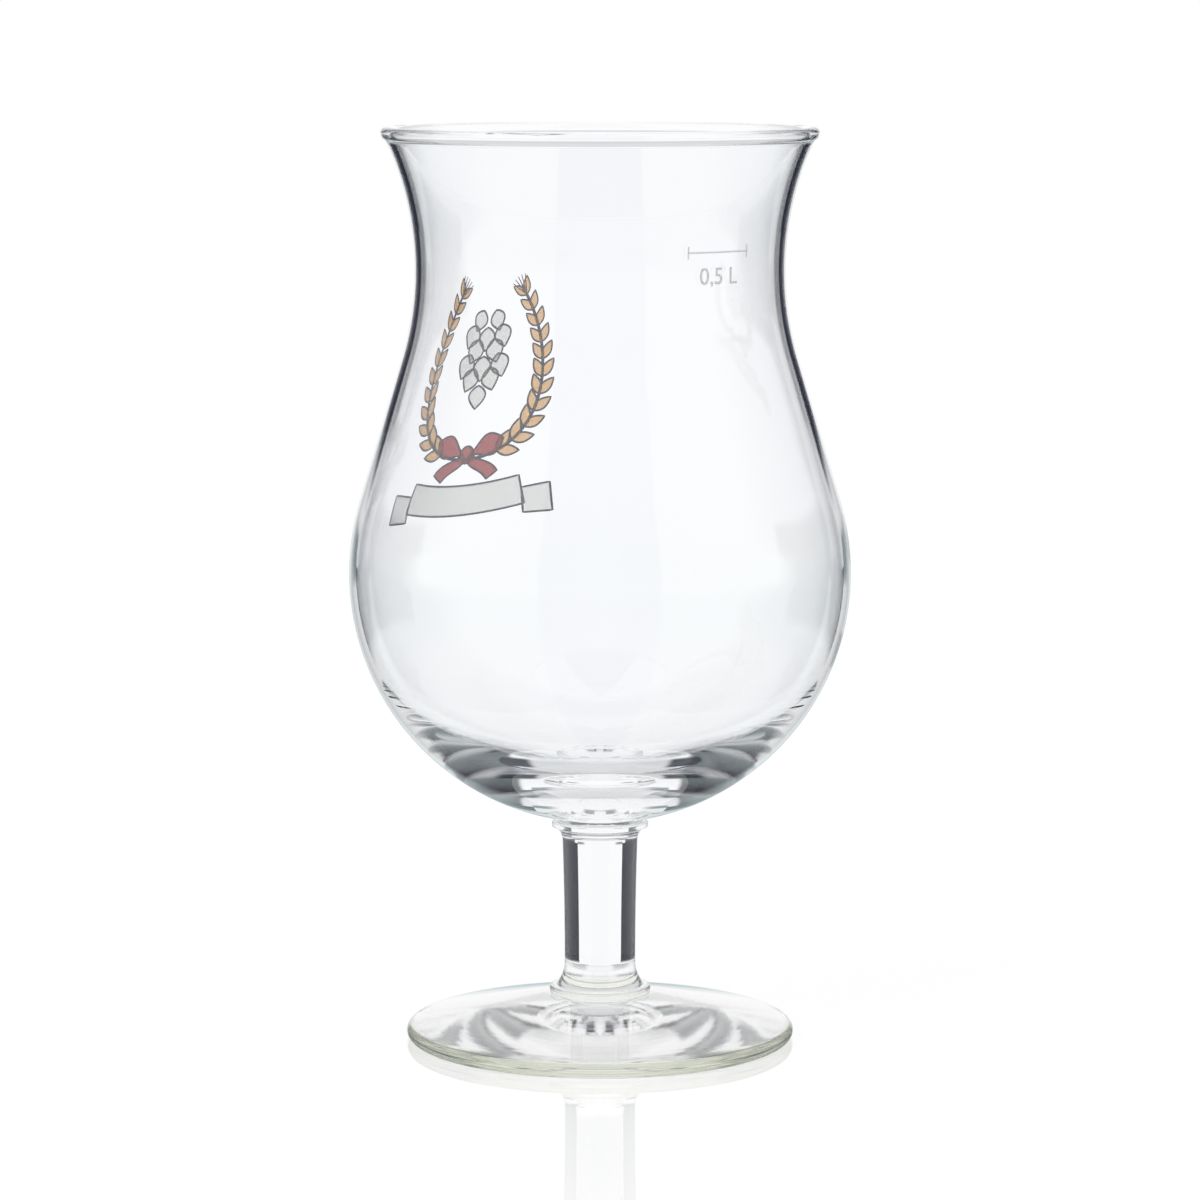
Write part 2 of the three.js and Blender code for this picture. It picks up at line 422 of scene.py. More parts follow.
# the inside of the belly: the wall thickens a little to the heel and then swells into the floor
def bellyInside(spec, centre):
    lean, heel, wall, heelWall = spec["shoulder"], spec["heel"], spec["wall"], spec["heelWall"]
    points = []
    for t in shares(spec["insideSteps"]):
        angle = lean + (-quarterTurn - lean) * t
        if angle > heel:
            thick = wall + (heelWall - wall) * smoothStep((lean - angle) / (lean - heel))
        else:
            share = max(0.0, (heel - angle) / (heel + quarterTurn)) ** spec["floorEase"]
            thick = heelWall + (spec["floor"] - heelWall) * smoothStep(share)
        reach = spec["belly"] - thick
        points.append((reach * math.cos(angle), centre[1] + reach * math.sin(angle)))
    points[-1] = (0.0, points[-1][1])
    return points


def bowlProfile(spec, neck, lift):
    belly, lean, wall, curve = spec["belly"], spec["shoulder"], spec["wall"], spec["curve"]
    centre = (0.0, lift + math.sqrt(belly ** 2 - neck ** 2))
    arcRadius = belly - spec["inset"] + curve
    shoulder = (belly * math.cos(lean), centre[1] + belly * math.sin(lean))
    coneEnd = arcRadius - curve * math.cos(lean)
    coneTop = shoulder[1] + (shoulder[0] - coneEnd) / math.tan(lean)
    waist = (arcRadius, coneTop + curve * math.sin(lean))
    inner, middle = curve + wall, curve + wall / 2
    innerCone = (waist[0] - inner * math.cos(lean), waist[1] - inner * math.sin(lean))
    bead = wall / 2 + spec["overhang"]
    rim = math.pi - math.asin((spec["rimRise"] - bead) / middle)
    rimCentre = (waist[0] + middle * math.cos(rim), waist[1] + middle * math.sin(rim))
    # fillets ease the bead into the wall's outer and inner faces
    ease = spec["rimEase"]

    def filletAt(reach):
        cosine = (reach ** 2 + middle ** 2 - (bead + ease) ** 2) / (2 * reach * middle)
        angle = rim + math.acos(cosine)
        place = (waist[0] + reach * math.cos(angle), waist[1] + reach * math.sin(angle))
        return angle, place, math.atan2(place[1] - rimCentre[1], place[0] - rimCentre[0])

    def nearTurn(angle, start):
        return start + (angle - start + math.pi) % fullTurn - math.pi

    outerEnd, outerFillet, beadStart = filletAt(curve - ease)
    innerEnd, innerFillet, beadEnd = filletAt(inner + ease)
    outerTurn = nearTurn(beadStart + math.pi, outerEnd)
    innerTurn = nearTurn(beadEnd + math.pi, innerEnd + math.pi)
    beadEnd = beadStart + (beadEnd - beadStart) % fullTurn
    bellyStart = math.atan2(lift - centre[1], neck)
    inside = bellyInside(spec, centre)
    return joinRuns(
        linePoints((0.0, lift), (neck, lift), flatSteps),
        arcPoints(centre, belly, bellyStart, lean, spec["bellySteps"]),
        linePoints(shoulder, (coneEnd, coneTop), spec["coneSteps"]),
        arcPoints(waist, curve, math.pi + lean, outerEnd, spec["waistSteps"]),
        arcPoints(outerFillet, ease, outerEnd, outerTurn, spec["filletSteps"]),
        arcPoints(rimCentre, bead, beadStart, beadEnd, spec["beadSteps"]),
        arcPoints(innerFillet, ease, innerTurn, innerEnd + math.pi, spec["filletSteps"]),
        arcPoints(waist, inner, innerEnd, math.pi + lean, spec["waistSteps"]),
        linePoints(innerCone, inside[0], spec["coneSteps"]),
        inside,
    )


weldHeight = foot["seatHeight"] + stem["height"]
bowlLine = bowlProfile(bowl, stem["neck"], weldHeight)

# welds, by height and radius: their faces are clear, so that light passes as through fused glass
seatWeld = (foot["seatHeight"], stem["collar"] - stem["undercut"])
neckWeld = (weldHeight, stem["neck"])
weldSlack = 1e-7
levelNormal = 0.999
weldClear = newMaterial("weldClear", {"Alpha": 0.0})[0]


def clearWelds(piece, welds):
    mesh = piece.data
    mesh.materials.append(weldClear)
    index = len(mesh.materials) - 1
    for face in mesh.polygons:
        if abs(face.normal.z) < levelNormal:
            continue
        reach = math.hypot(face.center.x, face.center.y)
        for height, radius in welds:
            if abs(face.center.z - height * mm) < weldSlack and reach < radius * mm:
                face.material_index = index


turned = {
    "foot": (foot, footProfile(foot, seatWeld[1]), [seatWeld]),
    "stem": (stem, stemProfile(stem, foot["seatHeight"]), [seatWeld, neckWeld]),
    "bowl": (bowl, bowlLine, [neckWeld]),
}
for node, (spec, points, welds) in turned.items():
    piece = spinPiece(node + "_glass", points, spec["segments"], makeGlass(node + "Glass", spec))
    clearWelds(piece, welds)
    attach(piece, "root")
    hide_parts(node)
    print(piece.name, len(piece.data.polygons), "faces")


# prints: fired enamel on the bowl's outside, drawn flat in millimetres and wrapped on the wall
wallLine = bowlLine[flatSteps:1 + max(range(len(bowlLine)), key=lambda i: bowlLine[i][1])]
wallHeights = np.array([z for r, z in wallLine])
wallRadii = np.array([r for r, z in wallLine])
enamel = {
    "ior": 1.35, "grainSize": 0.7, "grainDetail": 3.0, "wearRange": (0.35, 0.75), "roughness": (0.32, 0.55),
    "lineInside": 0.35,
}


def makeEnamelGroup(spec):
    group, given, made = newTree(
        "enamelMottle", "ShaderNodeTree",
        [("Color", "Color", opaque(white)), ("Worn Color", "Color", opaque(white)),
         ("Grain Size", "Float", 0.001), ("Wear", "Float", 0.5)],
        [("Color", "Color"), ("Roughness", "Float")])
    place = addNode(group, "ShaderNodeTexCoord").outputs["Object"]
    scale = maths(group, "DIVIDE", 1.0, given["Grain Size"])
    noise = addNode(group, "ShaderNodeTexNoise", {
        "Vector": place, "Scale": scale, "Detail": spec["grainDetail"]}).outputs["Fac"]
    worn = mapRange(group, noise, spec["wearRange"], (0.0, given["Wear"]))
    group.links.new(mixColours(group, worn, given["Color"], given["Worn Color"]), made["Color"])
    group.links.new(mapRange(group, noise, (0.0, 1.0), spec["roughness"]), made["Roughness"])
    return group


enamelGroup = makeEnamelGroup(enamel)


def makeEnamel(name, spec):
    material, tree, shader = newMaterial(name, {
        "Transmission Weight": spec["translucency"], "IOR": enamel["ior"]})
    mottle = addNode(
        tree, "ShaderNodeGroup",
        {"Color": opaque(spec["colour"]), "Worn Color": opaque(spec["worn"]),
         "Grain Size": enamel["grainSize"] * mm, "Wear": spec["wear"]},
        node_tree=enamelGroup)
    tree.links.new(mottle.outputs["Color"], shader["Base Color"])
    tree.links.new(mottle.outputs["Roughness"], shader["Roughness"])
    return material


def flatMesh(name, shapes):
    verts, faces = [], []
    for shapeVerts, shapeFaces in shapes:
        first = len(verts)
        verts += [(u, v, 0.0) for u, v in shapeVerts]
        faces += [tuple(first + i for i in face) for face in shapeFaces]
    mesh = bpy.data.meshes.new(name)
    mesh.from_pydata(verts, [], faces)
    return mesh


# a closed outline filled with rings of quads round its middle, so that it can bend with the wall
def filled(outline, rings):
    count = len(outline)
    middle = [sum(column) / count for column in zip(*outline)]
    verts, faces = [tuple(middle)], []
    for share in shares(rings)[1:]:
        verts += [tuple(m + (p - m) * share for m, p in zip(middle, point)) for point in outline]
    for i in range(count):
        j = (i + 1) % count
        faces.append((0, 1 + i, 1 + j))
        for ring in range(rings - 1):
            a, b = 1 + ring * count, 1 + (ring + 1) * count
            faces.append((a + i, b + i, b + j, a + j))
    return verts, faces


# rows of points along a path, spread over its widths
def bandRows(path, widths, rows):
    lines = [[] for row in range(rows + 1)]
    for i, (u, v) in enumerate(path):
        before, after = path[max(0, i - 1)], path[min(len(path) - 1, i + 1)]
        along = (after[0] - before[0], after[1] - before[1])
        size = math.hypot(*along)
        for line, share in zip(lines, shares(rows)):
            shift = (share - 0.5) * widths[i]
            line.append((u - along[1] / size * shift, v + along[0] / size * shift))
    return lines


def fillBand(path, widths, rows):
    lines = bandRows(path, widths, rows)
    count = len(path)
    verts = [point for line in lines for point in line]
    faces = []
    for row in range(rows):
        for i in range(count - 1):
            a, b = row * count + i, (row + 1) * count + i
            faces.append((a, a + 1, b + 1, b))
    return verts, faces


def bandOutline(path, widths, rows):
    lines = bandRows(path, widths, rows)
    ends = [line[-1] for line in lines[1:-1]]
    starts = [line[0] for line in lines[1:-1]]
    return lines[0] + ends + lines[-1][::-1] + starts[::-1]


# moves a closed outline outwards along its own normals
def growOutline(outline, grow):
    count = len(outline)
    area = sum(a[0] * b[1] - b[0] * a[1] for a, b in zip([outline[-1]] + outline, outline))
    turn = 1.0 if area > 0 else -1.0
    grown = []
    for i, (u, v) in enumerate(outline):
        before, after = outline[i - 1], outline[(i + 1) % count]
        along = (after[0] - before[0], after[1] - before[1])
        size = math.hypot(*along) or 1.0
        grown.append((u + turn * along[1] / size * grow, v - turn * along[0] / size * grow))
    return grown


def lineRing(outline, width):
    inward = enamel["lineInside"] * width
    inner, outer = growOutline(outline, -inward), growOutline(outline, width - inward)
    count = len(outline)
    faces = [(i, count + i, count + (i + 1) % count, (i + 1) % count) for i in range(count)]
    return inner + outer, faces


def wallRadius(height):
    return float(np.interp(height, wallHeights, wallRadii))


# gives flat drawings their thickness and lays them on the wall, turned from the front towards the right
def wrapPrint(name, layers, place, material):
    form = bmesh.new()
    for mesh, lift in layers:
        layer = bmesh.new()
        layer.from_mesh(mesh)
        for face in layer.faces:
            face.normal_update()
            if face.normal.z < 0:
                face.normal_flip()
        raised = bmesh.ops.extrude_face_region(layer, geom=layer.faces[:])["geom"]
        for vert in layer.verts:
            vert.co.z = lift
        for part in raised:
            if isinstance(part, bmesh.types.BMVert):
                part.co.z = lift + place["thickness"]
        bmesh.ops.recalc_face_normals(layer, faces=layer.faces)
        lifted = bpy.data.meshes.new(name + "Layer")
        layer.to_mesh(lifted)
        layer.free()
        form.from_mesh(lifted)
        bpy.data.meshes.remove(lifted)
    scaleRadius = wallRadius(place["middle"])
    for vert in form.verts:
        u, v, w = vert.co
        turn = math.radians(place["azimuth"]) + u / scaleRadius
        reach = (wallRadius(v) + w) * mm
        vert.co = (reach * math.sin(turn), -reach * math.cos(turn), v * mm)
    form.normal_update()
    made = bpy.data.meshes.new(name)
    form.to_mesh(made)
    form.free()
    made.materials.append(material)
    piece = bpy.data.objects.new(name, made)
    scene.collection.objects.link(piece)
    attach(piece, "root")
    print(name, len(made.polygons), "faces")


# the fill mark: a bar with end ticks above its number
fillMark = {
    "azimuth": 38.5, "middle": 153.3, "thickness": 0.02, "lift": 0.01, "stroke": 0.3,
    "halfWidth": 7.0, "barSteps": 40, "tick": 2.3, "tickSteps": 6,
    "number": "0,5 L", "boldness": 0.004, "cuts": 2, "numberRange": (146.9, 150.5), "numberWidth": 8.9,
    "enamel": {"colour": (0.66, 0.67, 0.68), "worn": (0.8, 0.81, 0.82), "wear": 0.7, "translucency": 0.6},
}


# the number's letters as a fine flat mesh, fitted to its width and heights
def numberMesh(spec):
    font = bpy.data.curves.new("fillNumber", "FONT")
    font.body = spec["number"]
    font.offset = spec["boldness"]
    holder = bpy.data.objects.new("fillNumber", font)
    scene.collection.objects.link(holder)
    graph = bpy.context.evaluated_depsgraph_get()
    letters = bpy.data.meshes.new_from_object(holder.evaluated_get(graph))
    bpy.data.objects.remove(holder)
    form = bmesh.new()
    form.from_mesh(letters)
    bmesh.ops.triangulate(form, faces=form.faces)
    bmesh.ops.subdivide_edges(form, edges=form.edges[:], cuts=spec["cuts"], use_grid_fill=True)
    us = [vert.co.x for vert in form.verts]
    vs = [vert.co.y for vert in form.verts]
    low, high = spec["numberRange"]
    wide = spec["numberWidth"] / (max(us) - min(us))
    tall = (high - low) / (max(vs) - min(vs))
    middle, bottom = (max(us) + min(us)) / 2, min(vs)
    for vert in form.verts:
        vert.co = ((vert.co.x - middle) * wide, (vert.co.y - bottom) * tall + low, 0.0)
    form.to_mesh(letters)
    form.free()
    return letters


def makeFillMark(spec):
    half, level = spec["halfWidth"], spec["middle"]
    paths = [[(half * (2 * t - 1), level) for t in shares(spec["barSteps"])]]
    for side in (-1, 1):
        paths.append([(side * half, level + spec["tick"] * (t - 0.5)) for t in shares(spec["tickSteps"])])
    bars = flatMesh("fillBars", [fillBand(path, [spec["stroke"]] * len(path), 1) for path in paths])
    layers = [(bars, spec["lift"]), (numberMesh(spec), spec["lift"])]
    wrapPrint("fill_mark", layers, spec, makeEnamel("fillEnamel", spec["enamel"]))


makeFillMark(fillMark)


# geometry nodes: pairs of grains set along a stalk, leaning out to both sides
def makeGrainTree():
    tree, given, made = newTree(
        "grainPairs", "GeometryNodeTree",
        [("Geometry", "Geometry"), ("Pairs", "Int"), ("Grain", "Object"), ("Lean", "Float"),
         ("First Scale", "Float"), ("Last Scale", "Float"), ("Material", "Material")],
        [("Geometry", "Geometry")])
    stalk = addNode(tree, "GeometryNodeMeshToCurve", {"Mesh": given["Geometry"]})
    points = addNode(
        tree, "GeometryNodeCurveToPoints", {"Curve": stalk.outputs[0], "Count": given["Pairs"]}, mode="COUNT")
    along = axesOf(tree, points.outputs["Tangent"])
    heading = maths(tree, "ARCTAN2", along["Y"], along["X"])
    index = addNode(tree, "GeometryNodeInputIndex").outputs[0]
    share = maths(tree, "DIVIDE", index, given["Pairs"])
    spread = maths(tree, "SUBTRACT", given["Last Scale"], given["First Scale"])
    size = maths(tree, "ADD", given["First Scale"], maths(tree, "MULTIPLY", share, spread))
    grain = addNode(tree, "GeometryNodeObjectInfo", {"Object": given["Grain"]})
    both = addNode(tree, "GeometryNodeJoinGeometry")
    for side in (1, -1):
        lean = maths(tree, "ADD", heading, maths(tree, "MULTIPLY", given["Lean"], side))
        turn = addNode(tree, "ShaderNodeCombineXYZ", {"Z": lean})
        placed = addNode(tree, "GeometryNodeInstanceOnPoints", {
            "Points": points.outputs["Points"], "Instance": grain.outputs["Geometry"],
            "Rotation": turn.outputs[0], "Scale": size})
        tree.links.new(placed.outputs[0], both.inputs[0])
    dressLast(tree, both, given["Material"], made)
    return tree


grainTree = makeGrainTree()


def grainsAlong(name, path, shape, spec, material):
    line = bpy.data.meshes.new(name + "Stalk")
    line.from_pydata([(u, v, 0.0) for u, v in path], [(i, i + 1) for i in range(len(path) - 1)], [])
    stalk = bpy.data.objects.new(name + "Stalk", line)
    grain = bpy.data.objects.new(name + "Grain", flatMesh(name + "Grain", [shape]))
    for holder in (stalk, grain):
        scene.collection.objects.link(holder)
    made = runTree(stalk, grainTree, {
        "Pairs": spec["pairs"], "Grain": grain, "Lean": spec["lean"],
        "First Scale": spec["firstScale"], "Last Scale": spec["lastScale"], "Material": material})
    for holder in (stalk, grain):
        bpy.data.objects.remove(holder)
    made.materials.clear()
    return made


def bezierPath(a, b, c, d, steps):
    path = []
    for t in shares(steps):
        w = ((1 - t) ** 3, 3 * t * (1 - t) ** 2, 3 * t * t * (1 - t), t ** 3)
        path.append(tuple(w[0] * a[k] + w[1] * b[k] + w[2] * c[k] + w[3] * d[k] for k in (0, 1)))
    return path


# a leaf or grain from the origin along +u, widest at a given share of its length
def petal(length, width, widest, steps):
    power = math.log(0.5) / math.log(widest)
    upper = [(length * t, width / 2 * math.sin(math.pi * t ** power)) for t in shares(steps)]
    return upper + [(u, -v) for u, v in reversed(upper[1:-1])]


def placeOutline(outline, turn, shift):
    cosine, sine = math.cos(turn), math.sin(turn)
    return [(u * cosine - v * sine + shift[0], u * sine + v * cosine + shift[1]) for u, v in outline]


# the picture print: two ears of barley round a hop cone, tied with a plain ribbon, over a plain scroll
emblem = {
    "azimuth": 218.0, "middle": 122.0, "thickness": 0.02, "lifts": (0.01, 0.035), "line": 0.42, "rings": 3,
    "petalSteps": 14,
    "pairs": 11, "grain": (4.6, 2.0), "grainWidest": 0.45, "lean": math.radians(32),
    "firstScale": 1.0, "lastScale": 0.78, "bareSteps": 6,
    "stalk": ((0.6, 109.0), (16.0, 110.0), (18.5, 129.0), (9.5, 142.0)), "stalkWidth": 0.7,
    "stalkSteps": 40, "stalkRows": 2,
    "awns": 5, "awnLength": 4.2, "awnFan": 0.9, "awnSteps": 8, "awnWidths": (0.34, 0.18),
    "hopTop": 138.5, "hopStep": 2.9, "bract": (4.6, 4.0), "bractWidest": 0.42, "bractRise": 0.5,
    "bractLean": 0.35,
    "hopRows": [(2, 1.75, 0.9), (3, 3.5, 1.0), (2, 1.85, 1.05), (3, 3.7, 1.05), (2, 1.85, 1.0), (1, 0.0, 1.0)],
    "knot": 110.0, "knotSize": (1.5, 1.7), "knotSteps": 24, "knotRings": 2,
    "loop": (7.6, 4.4, 0.62, 18), "loopTurn": 1.15, "loopShift": 0.8, "loopRings": 4,
    "ribbonTail": ((0.7, -0.4), (2.0, -2.5), (4.5, -2.0), (6.2, -4.4)), "ribbonSteps": 14,
    "ribbonWidths": (1.5, 2.6), "ribbonRows": 3,
    "scrollLevel": 102.2, "scrollHalf": 12.5, "scrollWidth": 6.0, "scrollSag": 1.6, "scrollSteps": 40,
    "scrollRows": 6, "tailDrop": 2.3, "tailLength": 5.2, "tailRise": 0.12, "tailWidths": (0.86, 0.98),
    "tailSteps": 12, "tailRows": 5,
    "navy": {"colour": (0.05, 0.06, 0.14), "worn": (0.08, 0.09, 0.17), "wear": 0.5, "translucency": 0.12},
    "gold": {"colour": (0.96, 0.6, 0.28), "worn": (0.98, 0.76, 0.5), "wear": 0.6, "translucency": 0.8},
    "red": {"colour": (0.7, 0.13, 0.14), "worn": (0.8, 0.26, 0.25), "wear": 0.5, "translucency": 0.6},
    "pale": {"colour": (0.93, 0.93, 0.90), "worn": (0.98, 0.98, 0.96), "wear": 0.6, "translucency": 0.85},
}


def between(ends, steps):
    return [ends[0] + (ends[1] - ends[0]) * t for t in shares(steps)]


# a bare stalk and the awns that fan out from its tip
def stalkStrokes(path, spec):
    strokes = [fillBand(path, [spec["stalkWidth"]] * len(path), spec["stalkRows"])]
    (u0, v0), (u1, v1) = path[-2:]
    heading = math.atan2(v1 - v0, u1 - u0)
    reach = between((0.0, spec["awnLength"]), spec["awnSteps"])
    for share in shares(spec["awns"] - 1):
        fan = heading + (share - 0.5) * spec["awnFan"]
        awn = [(u1 + far * math.cos(fan), v1 + far * math.sin(fan)) for far in reach]
        strokes.append(fillBand(awn, between(spec["awnWidths"], spec["awnSteps"]), 1))
    return strokes


def hopOutlines(spec):
    outlines = []
    for row, (count, spread, size) in enumerate(spec["hopRows"]):
        level = spec["hopTop"] - spec["hopStep"] * row
        for k in range(count):
            across = 0.0 if count == 1 else 2 * k / (count - 1) - 1
            bract = petal(*[length * size for length in spec["bract"]], spec["bractWidest"], spec["petalSteps"])
            shift = (across * spread, level + spec["bractRise"] * abs(across))
            outlines.append(placeOutline(bract, -quarterTurn + across * spec["bractLean"], shift))
    return outlines


# the bow's loops, tails and knot: their fillings and the outlines round them
def ribbonShapes(spec):
    knot, rows, steps = spec["knot"], spec["ribbonRows"], spec["ribbonSteps"]
    fillings, outlines = [], []
    for side in (-1, 1):
        turn, shift = quarterTurn - side * spec["loopTurn"], (side * spec["loopShift"], knot)
        loop = placeOutline(petal(*spec["loop"]), turn, shift)
        tail = bezierPath(*[(side * u, knot + v) for u, v in spec["ribbonTail"]], steps)
        widths = between(spec["ribbonWidths"], steps)
        fillings += [filled(loop, spec["loopRings"]), fillBand(tail, widths, rows)]
        outlines += [loop, bandOutline(tail, widths, rows)]
    across, tall = spec["knotSize"]
    turns = np.linspace(0, fullTurn, spec["knotSteps"], endpoint=False)
    tie = [(across * math.cos(a), knot + tall * math.sin(a)) for a in turns]
    return fillings + [filled(tie, spec["knotRings"])], outlines + [tie]


# the sagging scroll and its two tails, each as path, widths and rows
def scrollBands(spec):
    half, level, width = spec["scrollHalf"], spec["scrollLevel"], spec["scrollWidth"]
    across = between((-1.0, 1.0), spec["scrollSteps"])
    middle = [(half * t, level - spec["scrollSag"] * (1 - t ** 2)) for t in across]
    bands = [(middle, [width] * len(middle), spec["scrollRows"])]
    start = half + spec["line"]
    reach = between((start, start + spec["tailLength"]), spec["tailSteps"])
    widths = [width * share for share in between(spec["tailWidths"], spec["tailSteps"])]
    for side in (-1, 1):
        tail = [(side * u, level - spec["tailDrop"] + spec["tailRise"] * (u - half)) for u in reach]
        bands.append((tail, widths, spec["tailRows"]))
    return bands


def makeEmblem(spec):
    line = spec["line"]
    colours = ("navy", "gold", "red", "pale")
    navy, gold, red, pale = [makeEnamel(colour + "Enamel", spec[colour]) for colour in colours]
    under, over = spec["lifts"]
    grain = petal(*spec["grain"], spec["grainWidest"], spec["petalSteps"])
    barley, lines, strokes = [], [], []
    for side in (-1, 1):
        path = bezierPath(*[(side * u, v) for u, v in spec["stalk"]], spec["stalkSteps"])
        ear = path[spec["bareSteps"]:]
        barley.append((grainsAlong("grain", ear, filled(grain, spec["rings"]), spec, gold), under))
        lines.append((grainsAlong("grainLine", ear, lineRing(grain, line), spec, navy), over))
        strokes += stalkStrokes(path, spec)
    bracts = hopOutlines(spec)
    hop = [filled(outline, spec["rings"]) for outline in bracts]
    ribbon, ribbonLines = ribbonShapes(spec)
    bands = scrollBands(spec)
    scroll = [fillBand(*band) for band in bands]
    outlines = bracts + ribbonLines + [bandOutline(*band) for band in bands]
    strokes += [lineRing(outline, line) for outline in outlines]
    lines.append((flatMesh("strokes", strokes), over))
    wrapPrint("emblem_lines", lines, spec, navy)
    wrapPrint("emblem_barley", barley, spec, gold)
    wrapPrint("emblem_ribbon", [(flatMesh("ribbon", ribbon), under)], spec, red)
    wrapPrint("emblem_hop", [(flatMesh("hop", hop), under), (flatMesh("scroll", scroll), under)], spec, pale)


makeEmblem(emblem)


# stage: glossy pale floor, white surround, dark flags that only rays through the glass can see
def bareMaterial(name):
    material = bpy.data.materials.new(name)
    material.use_nodes = True
    material.node_tree.nodes.clear()
    return material, material.node_tree


def stageMesh(name, verts, faces, material):
    mesh = bpy.data.meshes.new(name)
    mesh.from_pydata(verts, [], faces)
    mesh.materials.append(material)
    piece = bpy.data.objects.new(name, mesh)
    scene.collection.objects.link(piece)
    return piece


# the mirror image fades away from the goblet, and the far floor glows up to the white of the backdrop
floor = {
    "half": 40.0, "paper": (0.9, 0.9, 0.9), "paperShare": 0.1, "glossIor": 1.45,
    "fade": (0.05, 0.24), "fadeLeft": 0.12, "far": (0.5, 1.5), "farGlow": 1.035,
}


def makeFloor(spec):
    material, tree = bareMaterial("glossFloor")
    away = lengthOf(tree, addNode(tree, "ShaderNodeTexCoord").outputs["Object"])
    glow = addNode(tree, "ShaderNodeEmission", {
        "Color": opaque(white), "Strength": mapRange(tree, away, spec["far"], (1.0, spec["farGlow"]))})
    paper = addNode(tree, "ShaderNodeBsdfDiffuse", {"Color": opaque(spec["paper"])})
    mirror = addNode(tree, "ShaderNodeBsdfGlossy", {"Color": opaque(white), "Roughness": 0.0})
    shine = addNode(tree, "ShaderNodeFresnel", {"IOR": spec["glossIor"]}).outputs[0]
    fade = mapRange(tree, away, spec["fade"], (1.0, spec["fadeLeft"]))
    soft = mixShaders(tree, spec["paperShare"], glow, paper)
    seen = mixShaders(tree, maths(tree, "MULTIPLY", shine, fade), soft, mirror)
    addNode(tree, "ShaderNodeOutputMaterial", {0: seen.outputs[0]})
    half = spec["half"]
    corners = [(-half, -half, 0), (half, -half, 0), (half, half, 0), (-half, half, 0)]
    plane = stageMesh("floor", corners, [(0, 1, 2, 3)], material)
    plane.visible_transmission = plane.visible_glossy = False


makeFloor(floor)


# dark flags stand far off at both sides of the white backdrop, a ceiling hangs over it, and a small flag
# stands close to each side of the bowl. Turns are counted in degrees from the back to each side, rows are
# degrees of rise or, on the near flags, millimetres of height. Soft edges run out into clear.
hardEdge = 0.01
flags = {
    "radius": 30.0, "cell": 0.75, "outerTurn": 111.0,
    "limits": [(-15, 84), (2, 84), (7, 102), (12, 111), (45, 111)],
    "outerSoftness": [(-8, 3), (-5, 12), (2, 12), (9, 32)],
    "sides": [{"turn": 27.0, "rows": (-18.0, -6.0), "softness": (hardEdge, 4.0)},
              {"turn": 30.0, "rows": (-6.0, 87.0), "softness": (3.0, hardEdge)}],
    "shades": [(-12, (0.014, 0.011, 0.022)), (-6, (0.03, 0.028, 0.042)), (2, (0.11, 0.125, 0.13)),
               (13, (0.16, 0.185, 0.19)), (24, (0.5, 0.51, 0.51)), (40, (0.5, 0.5, 0.5)),
               (48, (0.1, 0.11, 0.12))],
    "low": [{"turns": (10.5, 27.0), "rows": (-27.0, -18.0), "softness": (6.0, hardEdge, 1.5, 1.5),
             "shades": [(-27, (0.33, 0.37, 0.37)), (-18, (0.2, 0.25, 0.26))]},
            {"turns": (15.0, 27.0), "rows": (-8.25, -2.25), "softness": (6.0, hardEdge, 1.0, 1.0),
             "shades": [(-8, (0.22, 0.3, 0.31)), (-2, (0.26, 0.31, 0.33))]}],
    "near": {"radius": 0.25, "cell": 2.0, "turns": (20.25, 42.0), "rows": (104.0, 178.0),
             "softness": (3.0, 6.0, 14.0, 8.0),
             "shades": [(104, (0.1, 0.14, 0.16)), (118, (0.02, 0.02, 0.035)), (170, (0.03, 0.03, 0.045))]},
    "ceilingTurn": 30.0, "ceilingRows": (12.0, 87.0),
    "ceiling": [(12, (0.95, 0.95, 0.95)), (15, (0.68, 0.69, 0.69)), (40, (0.74, 0.74, 0.74)),
                (60, (0.7, 0.7, 0.7)), (66, (0.15, 0.16, 0.17))],
}


def alongStops(place, stops):
    places = [stop for stop, value in stops]
    columns = np.transpose([np.atleast_1d(value) for stop, value in stops])
    return [np.interp(place, places, column) for column in columns]


def softShare(*parts):
    return math.prod(smoothStep(part) for part in parts)


# shade and cover of a point of the side flags, of a card with four soft edges, and of the ceiling
def sideShade(turn, row, side, spec):
    limit, outer = alongStops(row, spec["limits"])[0], alongStops(row, spec["outerSoftness"])[0]
    inner, bottom = side["softness"]
    share = softShare((limit - turn) / outer, (turn - side["turn"] + hardEdge) / inner,
                      (row - side["rows"][0] + hardEdge) / bottom)
    return *alongStops(row, spec["shades"]), share


def cardShade(turn, row, card):
    left, right, bottom, top = card["softness"]
    (start, end), (low, high) = card["turns"], card["rows"]
    share = softShare((turn - start + hardEdge) / left, (end - turn + hardEdge) / right,
                      (row - low) / bottom, (high - row) / top)
    return *alongStops(row, card["shades"]), share


def ceilingShade(turn, row, spec):
    return *alongStops(row, spec["ceiling"]), 1.0


